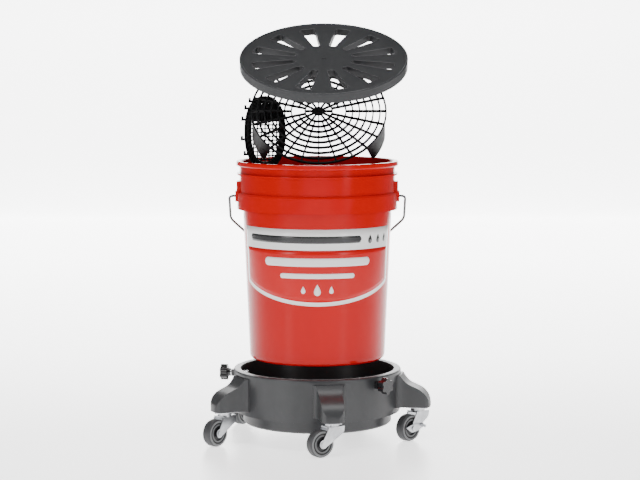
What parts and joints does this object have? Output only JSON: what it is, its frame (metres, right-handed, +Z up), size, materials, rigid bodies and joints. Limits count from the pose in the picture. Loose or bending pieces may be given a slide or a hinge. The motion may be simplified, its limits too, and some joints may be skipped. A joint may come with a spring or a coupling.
{
  "type": "wash bucket",
  "caption": "Round red wash pail on a wheeled dolly, with wire bail, slotted lid, grit guard and oval washboard lifted out above it.",
  "frame": {"origin": "centre of the dolly's seat, the flat floor that the pail stands on", "axes": "+Z up, -Y towards the front, +X to the right seen from the front"},
  "size_m": [0.4212, 0.4166, 0.7731],
  "materials": {
    "dolly_plastic": "satin",
    "zinc": "satin",
    "chrome": "polished",
    "tyre_rubber": "matte",
    "hub_plastic": "satin",
    "black_plastic": "gloss",
    "red_plastic": "gloss",
    "label_print": "gloss",
    "wire_steel": "satin",
    "grip_plastic": "satin",
    "lid_plastic": "satin",
    "insert_plastic": "satin"
  },
  "bodies": {
    "dolly": {"dolly_base": "dolly_plastic", "plate_rivets": "zinc", "swivel_plate_1": "zinc", "swivel_plate_2": "zinc", "swivel_plate_3": "zinc", "swivel_plate_4": "zinc", "swivel_plate_5": "zinc", "clamp_block_1": "black_plastic", "clamp_block_2": "black_plastic", "clamp_block_3": "black_plastic"},
    "bucket": {"bucket_shell": "red_plastic", "bucket_label": "label_print"},
    "bail": {"bail_wire": "wire_steel"},
    "grip": {"bail_grip": "grip_plastic"},
    "lid": {"lid": "lid_plastic"},
    "guard": {"grit_guard": "insert_plastic"},
    "board": {"washboard": "insert_plastic"},
    "caster_1": {"caster_fork_1": "zinc", "caster_axle_1": "zinc"},
    "wheel_1": {"wheel_hub_1": "hub_plastic", "wheel_tyre_1": "tyre_rubber"},
    "caster_2": {"caster_fork_2": "zinc", "caster_axle_2": "zinc"},
    "wheel_2": {"wheel_hub_2": "hub_plastic", "wheel_tyre_2": "tyre_rubber"},
    "pedal_1": {"brake_lever_1": "zinc"},
    "caster_3": {"caster_fork_3": "zinc", "caster_axle_3": "zinc"},
    "wheel_3": {"wheel_hub_3": "hub_plastic", "wheel_tyre_3": "tyre_rubber"},
    "caster_4": {"caster_fork_4": "zinc", "caster_axle_4": "zinc"},
    "wheel_4": {"wheel_hub_4": "hub_plastic", "wheel_tyre_4": "tyre_rubber"},
    "pedal_2": {"brake_lever_2": "zinc"},
    "caster_5": {"caster_fork_5": "zinc", "caster_axle_5": "zinc"},
    "wheel_5": {"wheel_hub_5": "hub_plastic", "wheel_tyre_5": "tyre_rubber"},
    "screw_1": {"clamp_screw_1": "chrome", "star_knob_1": "black_plastic"},
    "screw_2": {"clamp_screw_2": "chrome", "star_knob_2": "black_plastic"},
    "screw_3": {"clamp_screw_3": "chrome", "star_knob_3": "black_plastic"}
  },
  "joints": [
    {"name": "swivel_1", "type": "hinge", "parent": "dolly", "child": "caster_1", "pos_m": [0.02644, -0.18815, 0], "axis": [0, 0, 1], "continuous": true},
    {"name": "wheel_1", "type": "hinge", "parent": "caster_1", "child": "wheel_1", "pos_m": [0.00489, -0.20269, -0.008], "axis": [0.5592, -0.829, 0], "continuous": true},
    {"name": "swivel_2", "type": "hinge", "parent": "dolly", "child": "caster_2", "pos_m": [0.18711, -0.03299, 0], "axis": [0, 0, 1], "continuous": true},
    {"name": "wheel_2", "type": "hinge", "parent": "caster_2", "child": "wheel_2", "pos_m": [0.16873, -0.05138, -0.008], "axis": [0.7071, -0.7071, 0], "continuous": true},
    {"name": "pedal_1", "type": "hinge", "parent": "caster_2", "child": "pedal_1", "pos_m": [0.16873, -0.05138, -0.008], "axis": [0.7071, -0.7071, 0], "range_deg": [-8, 0]},
    {"name": "swivel_3", "type": "hinge", "parent": "dolly", "child": "caster_3", "pos_m": [0.0892, 0.16776, 0], "axis": [0, 0, 1], "continuous": true},
    {"name": "wheel_3", "type": "hinge", "parent": "caster_3", "child": "wheel_3", "pos_m": [0.06871, 0.15175, -0.008], "axis": [0.6157, -0.788, 0], "continuous": true},
    {"name": "swivel_4", "type": "hinge", "parent": "dolly", "child": "caster_4", "pos_m": [-0.13198, 0.13667, 0], "axis": [0, 0, 1], "continuous": true},
    {"name": "wheel_4", "type": "hinge", "parent": "caster_4", "child": "wheel_4", "pos_m": [-0.1469, 0.11538, -0.008], "axis": [0.8192, -0.5736, 0], "continuous": true},
    {"name": "pedal_2", "type": "hinge", "parent": "caster_4", "child": "pedal_2", "pos_m": [-0.1469, 0.11538, -0.008], "axis": [0.8192, -0.5736, 0], "range_deg": [-8, 0]},
    {"name": "swivel_5", "type": "hinge", "parent": "dolly", "child": "caster_5", "pos_m": [-0.17077, -0.08329, 0], "axis": [0, 0, 1], "continuous": true},
    {"name": "wheel_5", "type": "hinge", "parent": "caster_5", "child": "wheel_5", "pos_m": [-0.18748, -0.10321, -0.008], "axis": [0.766, -0.6428, 0], "continuous": true},
    {"name": "screw_1", "type": "hinge", "parent": "dolly", "child": "screw_1", "pos_m": [0.11809, -0.12229, 0.083], "axis": [0.6947, -0.7193, 0], "continuous": true},
    {"name": "screw_2", "type": "hinge", "parent": "dolly", "child": "screw_2", "pos_m": [-0.16742, 0.02952, 0.083], "axis": [-0.9848, 0.1736, 0], "continuous": true},
    {"name": "screw_3", "type": "hinge", "parent": "dolly", "child": "screw_3", "pos_m": [-0.02366, 0.16835, 0.083], "axis": [-0.1392, 0.9903, 0], "continuous": true},
    {"name": "bucket_lift", "type": "slide", "parent": "dolly", "child": "bucket", "axis": [0, 0, 1], "range_m": [-0.1167, 0]},
    {"name": "bail_swing", "type": "hinge", "parent": "bucket", "child": "bail", "pos_m": [0, 0, 0.42], "axis": [1, 0, 0], "range_deg": [0, 75]},
    {"name": "grip_roll", "type": "hinge", "parent": "bail", "child": "grip", "pos_m": [0, 0.15471, 0.28551], "axis": [1, 0, 0], "continuous": true},
    {"name": "lid_close", "type": "hinge", "parent": "bucket", "child": "lid", "pos_m": [0, -0.45442, 0.4864], "axis": [0.998, 0, -0.0628], "range_deg": [-24.3, 0]},
    {"name": "guard_lower", "type": "slide", "parent": "bucket", "child": "guard", "axis": [0.0071, 0, 1], "range_m": [-0.35, 0]},
    {"name": "board_lower", "type": "slide", "parent": "bucket", "child": "board", "axis": [-0.2517, 0, 0.9678], "range_m": [-0.3575, 0]}
  ],
  "couplings": [
    {"joint": "guard_lower", "follows": "lid_close", "m_per_rad": 0.82524},
    {"joint": "board_lower", "follows": "lid_close", "m_per_rad": 0.84292}
  ]
}
